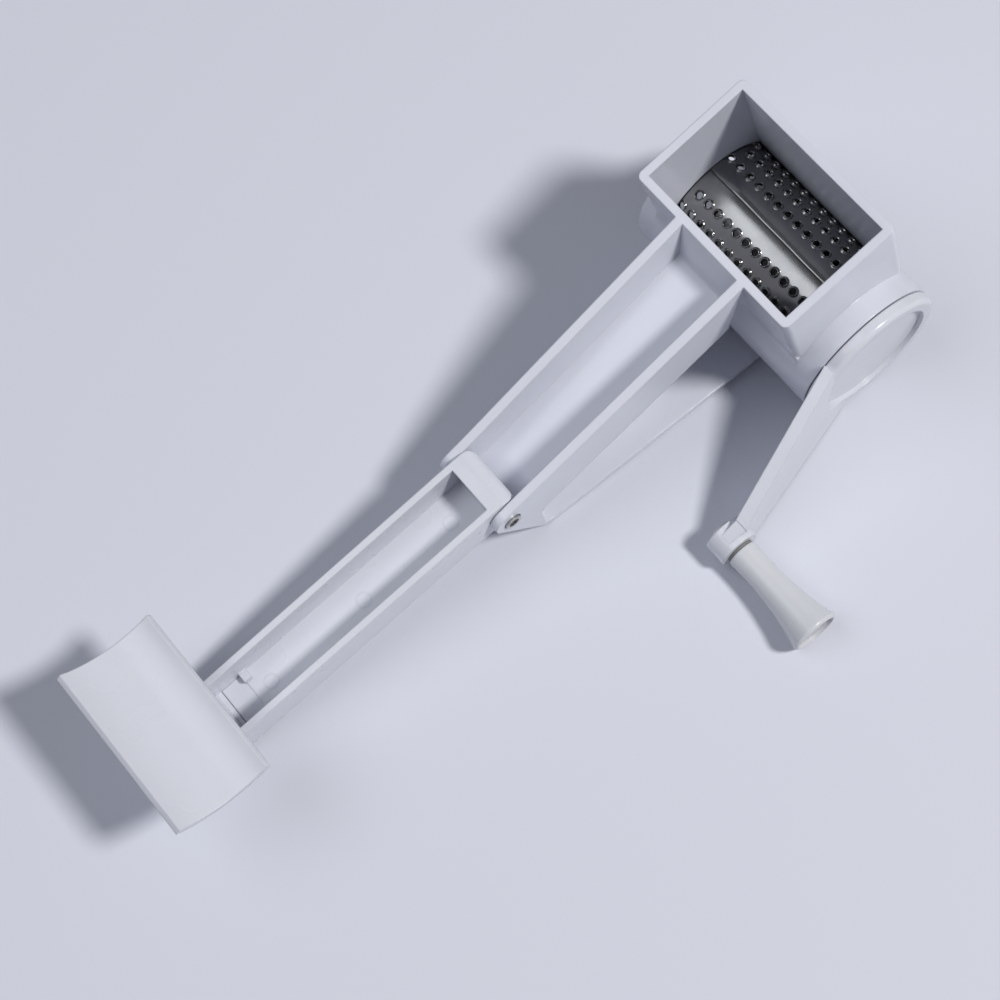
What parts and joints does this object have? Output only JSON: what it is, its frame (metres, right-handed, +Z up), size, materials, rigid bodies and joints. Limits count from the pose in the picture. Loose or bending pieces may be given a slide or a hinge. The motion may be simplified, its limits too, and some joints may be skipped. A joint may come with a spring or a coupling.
{
  "type": "rotary drum shredder",
  "caption": "White plastic hand-cranked rotary shredder opened flat, with a punched steel drum in its hopper, a channel handle and a folding presser arm.",
  "frame": {"origin": "bottom centre of the part's bounding box, lying opened on a table", "axes": "+X from the presser plate towards the hopper, +Z up, the crank on the -Y side"},
  "size_m": [0.267, 0.1284, 0.0804],
  "materials": {
    "shell_plastic": "gloss",
    "crank_plastic": "gloss",
    "arm_plastic": "gloss",
    "knob_plastic": "gloss",
    "washer_plastic": "matte",
    "punched_steel": "satin",
    "zinc_steel": "satin"
  },
  "bodies": {
    "housing": {"body_shell": "shell_plastic", "hinge_rivet": "zinc_steel"},
    "drum_crank": {"drum_sheet": "punched_steel", "drum_drive_hub": "shell_plastic", "drum_outlet_ring": "shell_plastic", "drum_washer": "zinc_steel", "drum_screw": "zinc_steel", "crank_arm": "crank_plastic", "knob_pin": "zinc_steel", "knob_washer": "washer_plastic", "knob_clip": "zinc_steel"},
    "knob": {"knob_grip": "knob_plastic", "knob_end_plug": "knob_plastic"},
    "presser": {"presser_arm": "arm_plastic", "presser_plate": "arm_plastic"}
  },
  "joints": [
    {"name": "crank_spin", "type": "hinge", "parent": "housing", "child": "drum_crank", "pos_m": [0.10963, -0.01075, 0.0239], "axis": [0, 1, 0], "continuous": true},
    {"name": "knob_spin", "type": "hinge", "parent": "drum_crank", "child": "knob", "pos_m": [0.04407, -0.04775, 0.00785], "axis": [0, 1, 0], "continuous": true},
    {"name": "presser_fold", "type": "hinge", "parent": "housing", "child": "presser", "pos_m": [-0.00497, 0.02725, 0.02742], "axis": [0, 1, 0], "range_deg": [0, 158.7]}
  ]
}
